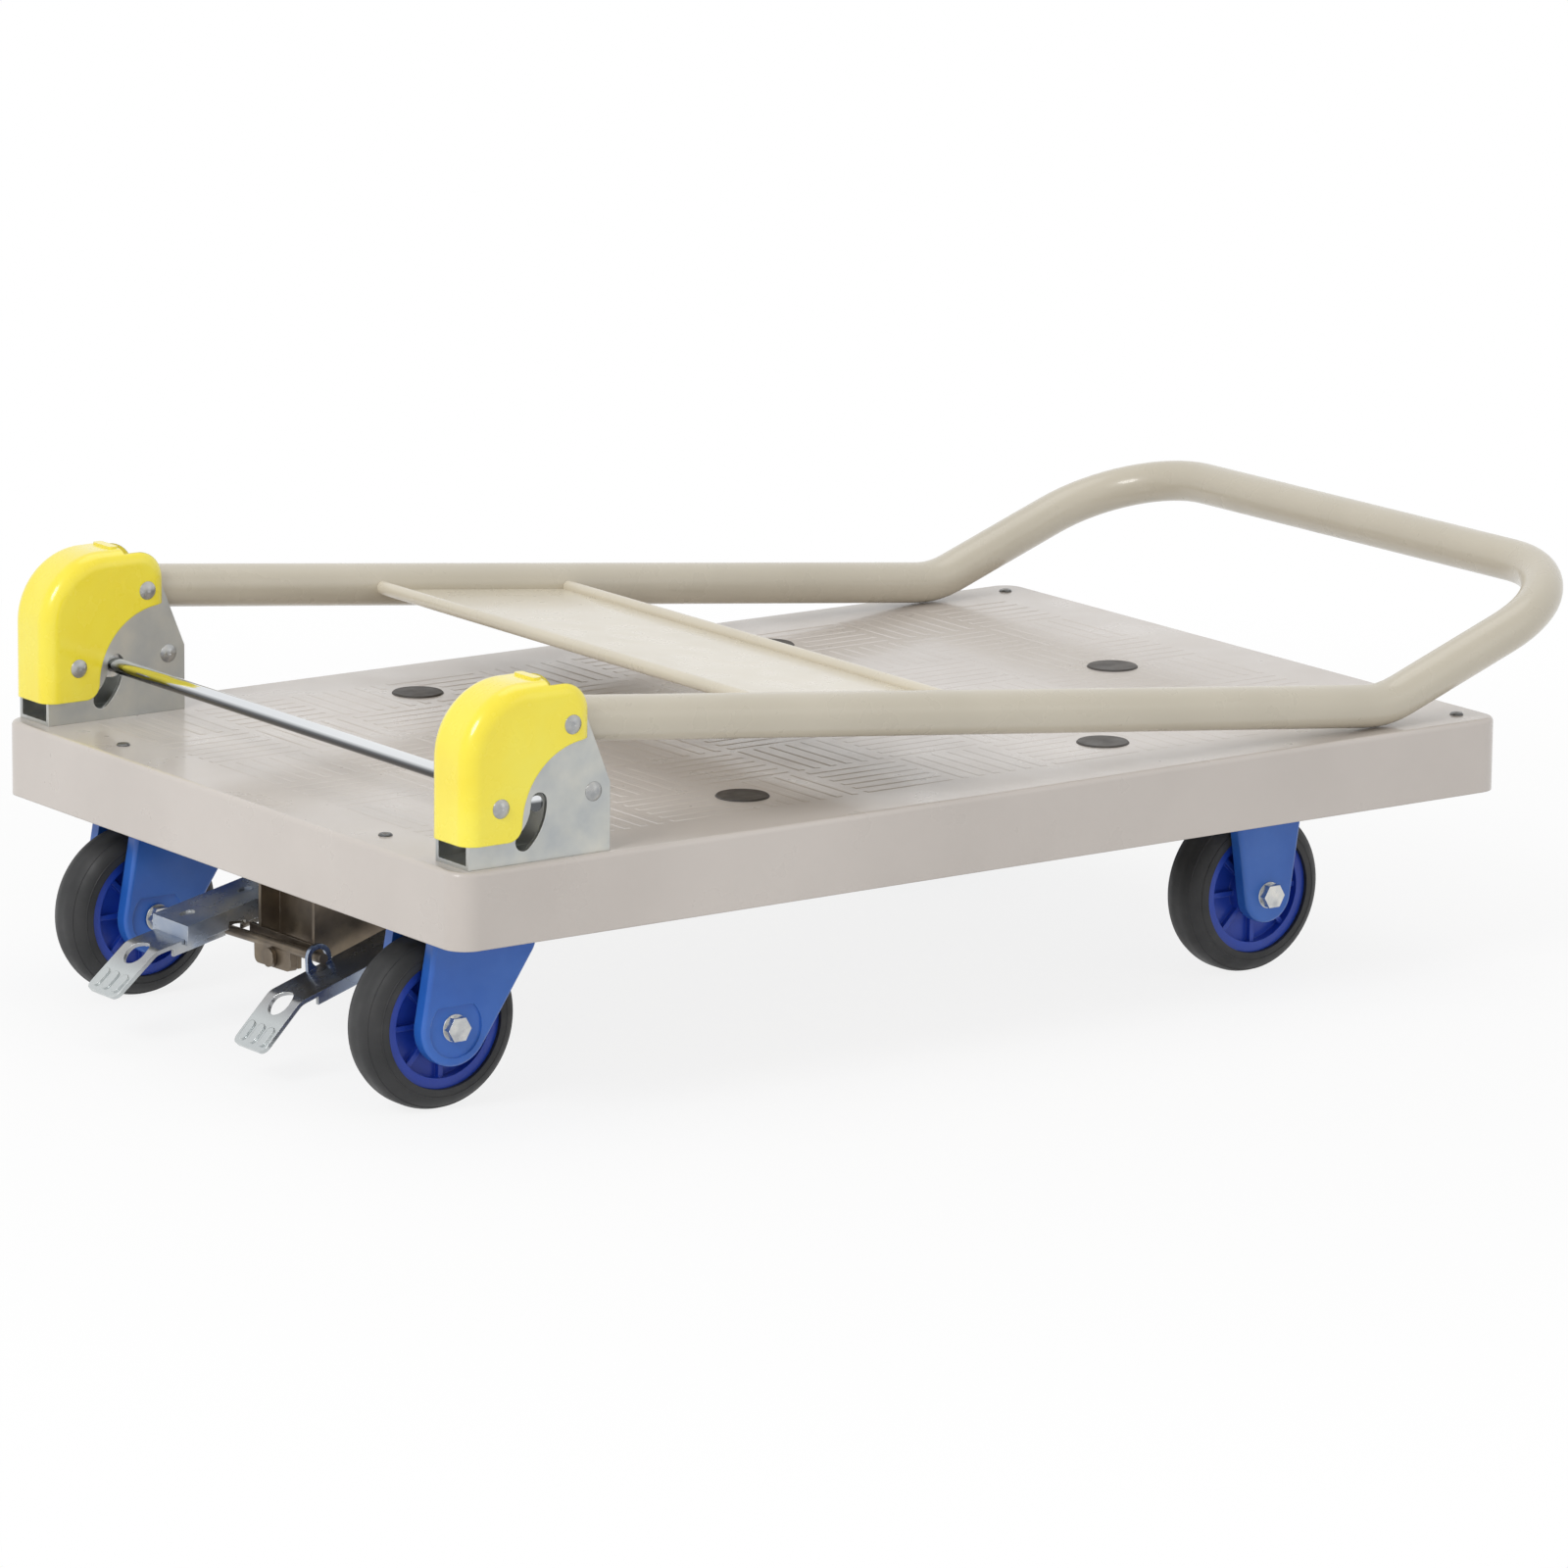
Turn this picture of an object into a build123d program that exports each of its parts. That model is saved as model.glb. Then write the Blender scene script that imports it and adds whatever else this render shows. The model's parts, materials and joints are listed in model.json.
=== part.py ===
from build123d import *
import os
from math import asin, atan, atan2, cos, degrees, hypot, radians, sin, sqrt, tan

os.makedirs("parts", exist_ok=True)

# Folding platform trolley in millimetres: +X from the handle end to the front, +Y left, +Z up from the floor

# Fits
running_gap = 0.05
press_gap = 0.02
side_gap = 0.3
bolt_gap = 0.5

# Deck: a moulded pan with a skirt all round
deck_length = 740.0
deck_width = 480.0
deck_wall = 2.5
skirt_height = 44.0
deck_corner_radius = 14.0
deck_edge_radius = 3.0

# Members under the deck
member_depth = 22.0
member_width = 110.0
member_wall = 3.0
member_end_gap = 3.0
rail_width = 30.0
rail_spacing = 160.0

# Plugs and screws in the deck top
plug_diameter = 31.0
plug_hole = 24.0
plug_crown = 1.0
plug_edge = 0.8
plug_lip = 2.0
plug_end_inset = 241.5
plug_side_inset = 74.0
front_plug_setback = 105.0
screw_head = 8.0
screw_crown = 1.2
screw_edge = 0.7
screw_diameter = 5.0
screw_length = 9.0
front_screw_setback = 19.0
front_screw_inset = 20.0
rear_screw_setback = 20.0
rear_screw_inset = 102.0

# Wheels
wheel_diameter = 100.0
tyre_width = 30.0
tyre_shoulder = 12.0
rim_diameter = 74.0
rim_wall = 6.0
rim_width = 25.0
web_thickness = 13.0
hub_diameter = 30.0
rib_count = 8
rib_thickness = 3.0
rib_step = 2.5
bush_diameter = 12.0

# Forks
axle_diameter = 8.0
fork_clearance = 1.5
leg_thickness = 9.0
leg_edge_radius = 2.5
rear_foot_radius = 22.0
rear_shoulder_radius = 14.0
front_foot_radius = 17.0
front_leg_width = 54.0
front_leg_shoulder = 12.0
seat_radius = 17.0
seat_height = 12.5
seat_depth = 1.2

# Casters
caster_inset = 84.0
swivel_setback = 66.0
caster_trail = 28.0
front_setback = 127.0
top_plate_length = 92.0
top_plate_width = 68.0
top_plate_thickness = 3.0
top_plate_corner = 8.0
top_bolt_length = 70.0
top_bolt_width = 46.0
crown_radius = 38.0
crown_thickness = 6.0
crown_clearance = 3.0
crown_rear = 40.0
crown_front = 26.0
race_radius = 28.0
race_width = 14.0
race_height = 8.1
kingpin_diameter = 12.0
kingpin_head = 18.0
kingpin_head_height = 4.0

# Hex fasteners
bolt_diameter = 8.0
hex_across = 13.0
hex_head = 5.3
hex_nut = 6.5

# Hinge brackets, measured from the rear lower corner of the bracket
hinge_inset = 20.0
bracket_setback = 9.5
bracket_length = 93.0
bracket_plate = 2.5
bracket_front_height = 38.5
bracket_rear_height = 30.0
bracket_ear = 11.5
pivot_run = 66.0
pivot_rise = 74.3
lock_run = 19.0
lock_rise = 33.0
stop_run = 82.0
stop_rise = 34.5
base_bolt_run = 24.0
base_bolt_pitch = 46.0
base_bolt_head = 4.0

# Rivets
rivet_diameter = 8.0
rivet_head = 11.0
rivet_head_height = 2.2
stop_pin_diameter = 9.2

# Yellow covers
cover_wall = 3.2
cover_gap = 0.2
cover_bottom = 13.5
cover_crown = 25.2
cover_nose = 14.0
cover_rear_radius = 42.0
cover_front_radius = 19.0
cover_edge_radius = 9.5
cover_scoop_radius = 44.0
cover_scoop_run = 11.0
cover_scoop_drop = 53.0
cover_toe_radius = 9.0
cover_mouth_gap = 1.2
cover_lip = 6.0
cover_lip_height = 1.2
cover_lip_corner = 2.0

# Handle lock
rod_diameter = 9.0
lock_radius = 27.0
lock_rest_angle = -3.0
lock_travel = 45.0
slot_spare_angle = 3.0
slot_gap = 0.8
lever_thickness = 4.0
lever_rim = 3.0
tail_gap = 1.3

# Push handle
tube_diameter = 25.4
tube_wall = 2.0
tube_side_gap = 0.8
handle_leg = 592.0
bend_angle = 26.2
bend_radius = 60.0
loop_run = 169.0
loop_corner_radius = 72.0
pivot_bush_diameter = 12.0

# Cross panel between the handle's legs
panel_start = 165.0
panel_width = 143.0
panel_sheet = 2.0
panel_bead = 8.0
panel_recess = 2.0

# Foot brake: two pedals on one shaft, joined by a rocker
shaft_setback = 130.0
shaft_height = 79.0
shaft_diameter = 10.0
shaft_head = 16.0
shaft_head_height = 3.0
spacer_diameter = 16.0
pedal_spacing = 118.0
brake_reach = 146.0
release_reach = 127.0
arm_width = 32.0
arm_sheet = 2.5
arm_depth = 7.0
arm_slope = 15.3
arm_rise = 9.0
arm_front = 8.0
arm_ear = 9.0
flange_start = 12.0
pedal_bend_radius = 10.0
tongue_length = 36.0
tongue_slope = 43.0
tongue_corner = 5.0
tongue_hole = 17.0
tongue_hole_run = 4.5
ridge_count = 3
ridge_pitch = 10.0
ridge_width = 6.0
ridge_length = 13.0
ridge_height = 0.8
ridge_inset = 3.0
pedal_swing = 5.4
sleeve_width = 38.0
sleeve_sheet = 2.5
sleeve_rise = 5.5
sleeve_depth = 11.0
sleeve_rear = 19.0
sleeve_length = 90.0
dimple_diameter = 9.0
dimple_depth = 1.0
dimple_inset = 14.0
dimple_pitch = 40.0
rocker_rod = 6.0
rocker_setback = 36.0
rocker_half = 50.0
rocker_gap = 1.6
rocker_notch = 11.0
ear_hole = 10.0
ear_rim = 3.0
rocker_lift = 7.0
rocker_plate = 5.0
lobe_width = 38.0
lobe_height = 14.5
lobe_drop = 6.0
lobe_corner = 4.0
rocker_pin = 6.0
rocker_collar = 11.0
hanger_sheet = 2.5
hanger_setback = 43.0
hanger_recess = 13.0
hanger_gap = 54.0
hanger_flange = 17.0
hanger_margin = 12.0
hanger_bolt_inset = 13.0
lip_width = 78.0
lip_height = 8.0
pin_tongue_width = 24.0
pin_tongue_drop = 6.0

sides = {"left": 1, "right": -1}

# Heights
axle_height = wheel_diameter / 2
crown_bottom = wheel_diameter + crown_clearance
crown_top = crown_bottom + crown_thickness
lower_race_top = crown_top + race_height
upper_race_bottom = lower_race_top + side_gap
plate_bottom = upper_race_bottom + race_height
member_bottom = plate_bottom + top_plate_thickness
deck_underside = member_bottom + member_depth
deck_top = deck_underside + deck_wall
skirt_bottom = deck_top - skirt_height

# Folded handle: the bend lies just above the deck
tube_radius = tube_diameter / 2
bend_tangent = bend_radius * tan(radians(bend_angle / 2))
rest_drop = pivot_rise - tube_radius - side_gap
leg_to_bend = handle_leg - bend_tangent
tilt = asin((rest_drop - bend_radius) / hypot(leg_to_bend, bend_radius)) + atan2(bend_radius, leg_to_bend)
loop_rise = radians(bend_angle) - tilt
pivot_setback = bracket_setback + pivot_run
front_reach = pivot_setback + handle_leg * cos(tilt) + loop_run * cos(loop_rise) + tube_radius

# Tip of the brake pedal's upper face, over and behind its shaft, and its reach behind the deck when raised
half_swing = radians(pedal_swing / 2)
slope = radians(arm_slope)
drop = radians(tongue_slope)
tip_back = brake_reach + tongue_length * cos(drop)
tip_height = arm_rise - brake_reach * tan(slope) - tongue_length * sin(drop)
rear_reach = tip_back * cos(half_swing) - tip_height * sin(half_swing) - shaft_setback

# The origin is on the floor, halfway between the pedals' tips and the handle's end
rear_x = (rear_reach - front_reach) / 2
front_x = rear_x + deck_length
deck_mid = rear_x + deck_length / 2
swivel_x = rear_x + swivel_setback
rear_axle_x = swivel_x - caster_trail
front_axle_x = front_x - front_setback
bracket_x = rear_x + bracket_setback
pivot_x = rear_x + pivot_setback
pivot_z = deck_top + pivot_rise
lock_x = bracket_x + lock_run
lock_z = deck_top + lock_rise
stop_x = bracket_x + stop_run
stop_z = deck_top + stop_rise
rod_x = lock_x + lock_radius * cos(radians(lock_rest_angle))
rod_z = lock_z + lock_radius * sin(radians(lock_rest_angle))
shaft_x = rear_x + shaft_setback
rocker_x = rear_x + rocker_setback

# Widths
hinge_y = deck_width / 2 - hinge_inset
caster_y = deck_width / 2 - caster_inset
pedal_y = pedal_spacing / 2
bracket_gap = tube_diameter + 2 * tube_side_gap
bracket_half = bracket_gap / 2 + bracket_plate
cover_half = bracket_half + cover_gap + cover_wall
tail_sweep = hypot(rod_x - pivot_x, rod_z - pivot_z) - rod_diameter / 2 - lever_rim - tail_gap
tail_length = sqrt(tail_sweep**2 - tube_radius**2)
hub_length = tyre_width + 2 * fork_clearance - 2 * side_gap
leg_inner = tyre_width / 2 + fork_clearance
leg_outer = leg_inner + leg_thickness


def save(piece, name):
    piece.part.label = name
    export_step(piece.part, f"parts/{name}.step")


def upright(y):
    """The vertical lengthwise plane at y, with its own x forward and its own y up."""
    return Plane(origin=(0, y, 0), x_dir=(1, 0, 0), z_dir=(0, -1, 0))


def hinge_holes(points, radius):
    """Cross holes through everything at the given x, z points."""
    with BuildSketch(upright(0)) as holes:
        with Locations(*points):
            Circle(radius)
    extrude(holes.sketch, amount=deck_width, both=True, mode=Mode.SUBTRACT)


def domed_head(y, outward, x, z, diameter):
    """A rivet head that stands on the plane y and points along outward (1 or -1)."""
    rim = (x + diameter / 2, y)
    peak = (x, y + outward * rivet_head_height)
    with BuildSketch(Plane.XY.offset(z)) as half:
        with BuildLine():
            Polyline(peak, (x, y), rim)
            TangentArc(peak, rim, tangent=(1, 0))
        make_face()
    revolve(half.sketch, axis=Axis((x, y, z), (0, 1, 0)))


def cross_shaft(x, z, radius, low, high):
    """A round bar along Y from low to high."""
    with BuildSketch(upright((low + high) / 2)) as section:
        with Locations((x, z)):
            Circle(radius)
    extrude(section.sketch, amount=(high - low) / 2, both=True)


def cross_hex(x, z, across, low, high):
    """A hexagonal bar along Y from low to high."""
    with BuildSketch(upright((low + high) / 2)) as section:
        with Locations((x, z)):
            RegularPolygon(across / 2, 6, major_radius=False)
    extrude(section.sketch, amount=(high - low) / 2, both=True)


def vertical_bolts(points, low, high, nut_z):
    """Hex bolts with heads under low and nuts on nut_z, one solid for each bolt."""
    with BuildPart() as bolts:
        with BuildSketch(Plane.XY.offset(low - hex_head)):
            with Locations(*points):
                RegularPolygon(hex_across / 2, 6, major_radius=False)
        extrude(amount=hex_head)
        with BuildSketch(Plane.XY.offset(low)):
            with Locations(*points):
                Circle(bolt_diameter / 2)
        extrude(amount=high - low)
        with BuildSketch(Plane.XY.offset(nut_z)):
            with Locations(*points):
                RegularPolygon(hex_across / 2, 6, major_radius=False)
        extrude(amount=hex_nut)
    return bolts


def corners(x, y, length, width):
    """The four corners of a rectangle about x, y."""
    return [(x + i * length / 2, y + j * width / 2) for i in (-1, 1) for j in (-1, 1)]


# Places of bolts, plugs and screws
caster_bolt_points = [
    point
    for x in (swivel_x, front_axle_x)
    for y in (-caster_y, caster_y)
    for point in corners(x, y, top_bolt_length, top_bolt_width)
]
base_bolt_points = [
    (bracket_x + base_bolt_run + k * base_bolt_pitch, side * hinge_y)
    for side in sides.values()
    for k in range(2)
]
plug_points = corners(deck_mid, 0, deck_length - 2 * plug_end_inset, deck_width - 2 * plug_side_inset)
plug_points.append((front_x - front_plug_setback, 0))
screw_points = [
    (x, side * (deck_width / 2 - inset))
    for x, inset in (
        (rear_x + rear_screw_setback, rear_screw_inset),
        (front_x - front_screw_setback, front_screw_inset),
    )
    for side in sides.values()
]
hanger_x = rear_x + hanger_setback
hanger_front = swivel_x + member_width / 2
hanger_bolt_y = hanger_gap / 2 + hanger_sheet + hanger_flange / 2
hanger_bolt_points = [
    (x, side * hanger_bolt_y)
    for x in (hanger_x + hanger_bolt_inset, hanger_front - hanger_bolt_inset)
    for side in sides.values()
]

# Deck pan
with BuildPart() as deck:
    with BuildSketch(Plane.XY.offset(skirt_bottom)):
        with Locations((deck_mid, 0)):
            RectangleRounded(deck_length, deck_width, deck_corner_radius)
    extrude(amount=skirt_height)
    fillet(deck.faces().sort_by(Axis.Z)[-1].edges(), deck_edge_radius)
    with BuildSketch(Plane.XY.offset(skirt_bottom)):
        with Locations((deck_mid, 0)):
            RectangleRounded(
                deck_length - 2 * deck_wall, deck_width - 2 * deck_wall, deck_corner_radius - deck_wall
            )
    extrude(amount=skirt_height - deck_wall, mode=Mode.SUBTRACT)
    with BuildSketch(Plane.XY.offset(deck_underside)):
        with Locations(*plug_points):
            Circle(plug_hole / 2)
        with Locations(*screw_points):
            Circle(screw_diameter / 2 + press_gap)
        with Locations(*base_bolt_points):
            Circle(bolt_diameter / 2 + bolt_gap)
    extrude(amount=2 * deck_wall, mode=Mode.SUBTRACT)
save(deck, "deck")

# Cross members that carry the casters, open channels under the deck top
member_length = deck_width - 2 * deck_wall - 2 * member_end_gap
for name, middle in (("rear", swivel_x), ("front", front_axle_x)):
    with BuildPart() as member:
        with BuildSketch(upright(0)):
            with Locations((middle, member_bottom + member_depth / 2)):
                Rectangle(member_width, member_depth)
            with Locations((middle, member_bottom + member_wall + member_depth / 2)):
                Rectangle(member_width - 2 * member_wall, member_depth, mode=Mode.SUBTRACT)
        extrude(amount=member_length / 2, both=True)
        with BuildSketch(Plane.XY.offset(member_bottom)):
            with Locations(*[p for p in caster_bolt_points if abs(p[0] - middle) < member_width / 2]):
                Circle(bolt_diameter / 2 + bolt_gap)
            if name == "rear":
                with Locations(*hanger_bolt_points):
                    Circle(bolt_diameter / 2 + bolt_gap)
        extrude(amount=member_wall, mode=Mode.SUBTRACT)
    save(member, f"{name}_crossmember")

# Rails from member to member
rail_start = swivel_x + member_width / 2
rail_length = front_axle_x - member_width / 2 - rail_start
with BuildPart() as rails:
    for side in sides.values():
        with BuildSketch(Plane.YZ.offset(rail_start)):
            with Locations((side * rail_spacing / 2, member_bottom + member_depth / 2)):
                Rectangle(rail_width, member_depth)
            with Locations((side * rail_spacing / 2, member_bottom + member_wall + member_depth / 2)):
                Rectangle(rail_width - 2 * member_wall, member_depth, mode=Mode.SUBTRACT)
        extrude(amount=rail_length)
save(rails, "deck_rails")

# Plugs pressed into the deck top
with BuildPart() as plugs:
    with BuildSketch(Plane.XY.offset(deck_underside - plug_lip)):
        with Locations(*plug_points):
            Circle(plug_hole / 2 - press_gap)
    extrude(amount=deck_wall + plug_lip)
    with BuildSketch(Plane.XY.offset(deck_top)):
        with Locations(*plug_points):
            Circle(plug_diameter / 2)
    extrude(amount=plug_crown)
    chamfer(plugs.faces().sort_by(Axis.Z)[-len(plug_points):].edges(), plug_edge)
save(plugs, "deck_plugs")

# Screws near the deck's corners
with BuildPart() as screws:
    with BuildSketch(Plane.XY.offset(deck_top)):
        with Locations(*screw_points):
            Circle(screw_head / 2)
    extrude(amount=screw_crown)
    chamfer(screws.faces().sort_by(Axis.Z)[-len(screw_points):].edges(), screw_edge)
    with BuildSketch(Plane.XY.offset(deck_top)):
        with Locations(*screw_points):
            Circle(screw_diameter / 2)
    extrude(amount=-screw_length)
save(screws, "deck_screws")

# Hinge brackets: two side plates with a curved slot, on a base
slot_arc = CenterArc(
    (lock_x, lock_z), lock_radius, lock_rest_angle + slot_spare_angle, -lock_travel - 2 * slot_spare_angle
)
for name, side in sides.items():
    with BuildPart() as bracket:
        for edge in (-1, 1):
            with BuildSketch(upright(side * hinge_y + edge * (bracket_half - bracket_plate / 2))):
                Polygon(
                    (bracket_x, deck_top),
                    (bracket_x + bracket_length, deck_top),
                    (bracket_x + bracket_length, deck_top + bracket_front_height),
                    (bracket_x, deck_top + bracket_rear_height),
                    align=None,
                )
                with Locations((pivot_x, pivot_z)):
                    Circle(bracket_ear)
                make_hull()
                SlotArc(slot_arc, rod_diameter + 2 * slot_gap, mode=Mode.SUBTRACT)
            extrude(amount=bracket_plate / 2, both=True)
        with BuildSketch(Plane.XY.offset(deck_top)):
            with Locations((bracket_x + bracket_length / 2, side * hinge_y)):
                Rectangle(bracket_length, bracket_gap)
            with Locations(*base_bolt_points):
                Circle(bolt_diameter / 2 + bolt_gap, mode=Mode.SUBTRACT)
        extrude(amount=bracket_plate)
        hinge_holes(
            [(pivot_x, pivot_z), (lock_x, lock_z), (stop_x, stop_z)], rivet_diameter / 2 + press_gap
        )
    save(bracket, f"hinge_bracket_{name}")

# Covers over the hinges, open below and in front of the tube's upright place
cover_top = pivot_z + cover_crown
cover_front = pivot_x + cover_nose
cover_rear = bracket_x - cover_gap - cover_wall
cover_low = deck_top + cover_bottom
cover_mouth = pivot_x - tube_radius - cover_mouth_gap
for name, side in sides.items():
    with BuildPart() as cover:
        with BuildSketch(upright(side * hinge_y)) as outline:
            with Locations(((cover_rear + cover_front) / 2, (cover_low + cover_top) / 2)):
                Rectangle(cover_front - cover_rear, cover_top - cover_low)
            upper = outline.vertices().group_by(Axis.Y)[-1].sort_by(Axis.X)
            fillet(upper[0], cover_rear_radius)
            fillet(outline.vertices().sort_by_distance((cover_front, cover_top, 0))[0], cover_front_radius)
        extrude(amount=cover_half, both=True)
        rounded = cover.faces().filter_by(Axis.Y).edges().filter_by(lambda e: e.center().Z > cover_low + 1)
        fillet(rounded, cover_edge_radius)
        with BuildSketch(upright(side * hinge_y)) as hollow:
            with Locations(((cover_rear + cover_wall + cover_front) / 2, cover_low)):
                Rectangle(cover_front - cover_rear - cover_wall, 2 * (cover_top - cover_wall - cover_low))
            fillet(
                hollow.vertices().sort_by_distance((cover_rear + cover_wall, cover_top - cover_wall, 0))[0],
                cover_rear_radius - cover_wall,
            )
            with Locations(((cover_mouth + cover_front) / 2, cover_top)):
                Rectangle(cover_front - cover_mouth, 4 * cover_wall)
        extrude(amount=cover_half - cover_wall, both=True, mode=Mode.SUBTRACT)
        with BuildSketch(upright(side * hinge_y)) as scoop:
            with Locations((pivot_x + cover_scoop_run, pivot_z - cover_scoop_drop)):
                Circle(cover_scoop_radius)
        extrude(amount=deck_width, both=True, mode=Mode.SUBTRACT)
        toes = cover.edges().filter_by(Axis.Y).filter_by(lambda e: abs(e.center().Z - cover_low) < 0.1)
        fillet(toes.group_by(Axis.X)[-1], cover_toe_radius)
        with BuildSketch(Plane.XY.offset(cover_top - cover_wall / 2)):
            with Locations((cover_mouth - cover_lip / 2, side * hinge_y)):
                RectangleRounded(cover_lip, 2 * (cover_half - cover_edge_radius), cover_lip_corner)
        extrude(amount=cover_wall / 2 + cover_lip_height)
        hinge_holes([(pivot_x, pivot_z), (lock_x, lock_z)], rivet_diameter / 2 + press_gap)
    save(cover, f"hinge_cover_{name}")

# Rivets that the handle and the lock levers turn on
for node, x, z in (("handle_pivot_rivets", pivot_x, pivot_z), ("lock_pivot_rivets", lock_x, lock_z)):
    with BuildPart() as rivets:
        for side in sides.values():
            middle = side * hinge_y
            cross_shaft(x, z, rivet_diameter / 2, middle - cover_half, middle + cover_half)
            for outward in (-1, 1):
                domed_head(middle + outward * cover_half, outward, x, z, rivet_head)
    save(rivets, node)

# Stop pins that the upright tube's tail comes up against
with BuildPart() as stops:
    for side in sides.values():
        middle = side * hinge_y
        cross_shaft(stop_x, stop_z, rivet_diameter / 2, middle - bracket_half, middle + bracket_half)
        cross_shaft(stop_x, stop_z, stop_pin_diameter / 2, middle - bracket_gap / 2, middle + bracket_gap / 2)
        for outward in (-1, 1):
            domed_head(middle + outward * bracket_half, outward, stop_x, stop_z, rivet_head)
save(stops, "stop_pins")

# Bolts that hold the brackets to the deck, heads inside the brackets
with BuildPart() as base_bolts:
    with BuildSketch(Plane.XY.offset(deck_top + bracket_plate)):
        with Locations(*base_bolt_points):
            Circle(hex_across / 2)
    extrude(amount=base_bolt_head)
    with BuildSketch(Plane.XY.offset(deck_top + bracket_plate)):
        with Locations(*base_bolt_points):
            Circle(bolt_diameter / 2)
    extrude(amount=-bracket_plate - deck_wall)
    with BuildSketch(Plane.XY.offset(deck_underside)):
        with Locations(*base_bolt_points):
            RegularPolygon(hex_across / 2, 6, major_radius=False)
    extrude(amount=-hex_nut)
save(base_bolts, "bracket_bolts")

# Handle tube, folded down
leg_direction = (cos(tilt), 0, -sin(tilt))
vertex = (pivot_x + handle_leg * cos(tilt), pivot_z - handle_leg * sin(tilt))
corner = (vertex[0] + loop_run * cos(loop_rise), vertex[1] + loop_run * sin(loop_rise))
tail = (pivot_x - tail_length * cos(tilt), pivot_z + tail_length * sin(tilt))
with BuildPart() as handle_tube:
    with BuildLine() as route:
        FilletPolyline(
            (tail[0], hinge_y, tail[1]),
            (vertex[0], hinge_y, vertex[1]),
            (corner[0], hinge_y, corner[1]),
            (corner[0], -hinge_y, corner[1]),
            (vertex[0], -hinge_y, vertex[1]),
            (tail[0], -hinge_y, tail[1]),
            radius=[bend_radius, loop_corner_radius, loop_corner_radius, bend_radius],
        )
    with BuildSketch(Plane(origin=route.line @ 0, z_dir=route.line % 0)):
        Circle(tube_radius)
        Circle(tube_radius - tube_wall, mode=Mode.SUBTRACT)
    sweep(path=route.line)
    hinge_holes([(pivot_x, pivot_z)], pivot_bush_diameter / 2 + press_gap)
save(handle_tube, "handle_tube")

# Bushes in the handle's legs
with BuildPart() as bushes:
    for side in sides.values():
        reach = bracket_gap / 2 - side_gap
        cross_shaft(pivot_x, pivot_z, pivot_bush_diameter / 2, side * hinge_y - reach, side * hinge_y + reach)
    hinge_holes([(pivot_x, pivot_z)], rivet_diameter / 2 + running_gap)
save(bushes, "handle_pivot_bushes")

# Cross panel: a recessed sheet with rolled edges, coped to the legs
panel_frame = Plane(origin=(pivot_x, 0, pivot_z), x_dir=leg_direction, z_dir=(0, -1, 0))
with BuildPart() as panel:
    with BuildSketch(panel_frame):
        with Locations((panel_start + panel_width / 2, -panel_recess)):
            Rectangle(panel_width - panel_bead, panel_sheet)
        with Locations(
            (panel_start + panel_bead / 2, 0), (panel_start + panel_width - panel_bead / 2, 0)
        ):
            Circle(panel_bead / 2)
    extrude(amount=hinge_y, both=True)
    for side in sides.values():
        with Locations(Plane(origin=(pivot_x, side * hinge_y, pivot_z), z_dir=leg_direction)):
            Cylinder(tube_radius + press_gap, 2 * handle_leg, mode=Mode.SUBTRACT)
save(panel, "handle_panel")

# Lock rod across both hinges
rod_reach = hinge_y + bracket_gap / 2 - side_gap
with BuildPart() as lock_rod:
    cross_shaft(rod_x, rod_z, rod_diameter / 2, -rod_reach, rod_reach)
save(lock_rod, "lock_rod")

# Lock levers inside the brackets, against the inner plates
lever_y = hinge_y - bracket_gap / 2 + side_gap + lever_thickness / 2
with BuildPart() as levers:
    for side in sides.values():
        with BuildSketch(upright(side * lever_y)):
            with Locations((lock_x, lock_z)):
                Circle(rivet_diameter / 2 + lever_rim)
            with Locations((rod_x, rod_z)):
                Circle(rod_diameter / 2 + lever_rim)
            make_hull()
            with Locations((lock_x, lock_z)):
                Circle(rivet_diameter / 2 + running_gap, mode=Mode.SUBTRACT)
            with Locations((rod_x, rod_z)):
                Circle(rod_diameter / 2 + press_gap, mode=Mode.SUBTRACT)
        extrude(amount=lever_thickness / 2, both=True)
save(levers, "lock_levers")

# Caster bolts, heads under the top plates and nuts inside the members
caster_bolts = vertical_bolts(
    caster_bolt_points,
    member_bottom - top_plate_thickness,
    member_bottom + member_wall,
    member_bottom + member_wall,
)
save(caster_bolts, "caster_bolts")

# Fixed front forks
for name, side in sides.items():
    with BuildPart() as fork:
        for edge in (-1, 1):
            with BuildSketch(upright(side * caster_y + edge * (leg_inner + leg_outer) / 2)):
                with Locations((front_axle_x, axle_height)):
                    Circle(front_foot_radius)
                with Locations((front_axle_x, member_bottom - front_leg_shoulder / 2)):
                    Rectangle(front_leg_width, front_leg_shoulder)
                make_hull()
            extrude(amount=leg_thickness / 2, both=True)
        for outward in (0, -1):
            fillet(fork.faces().filter_by(Axis.Y).sort_by(Axis.Y)[outward].edges(), leg_edge_radius)
        with BuildSketch(Plane.XY.offset(member_bottom)):
            with Locations((front_axle_x, side * caster_y)):
                RectangleRounded(top_plate_length, top_plate_width, top_plate_corner)
            with Locations(*corners(front_axle_x, side * caster_y, top_bolt_length, top_bolt_width)):
                Circle(bolt_diameter / 2 + bolt_gap, mode=Mode.SUBTRACT)
        extrude(amount=-top_plate_thickness)
        hinge_holes([(front_axle_x, axle_height)], axle_diameter / 2 + press_gap)
    save(fork, f"front_fork_{name}")

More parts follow.
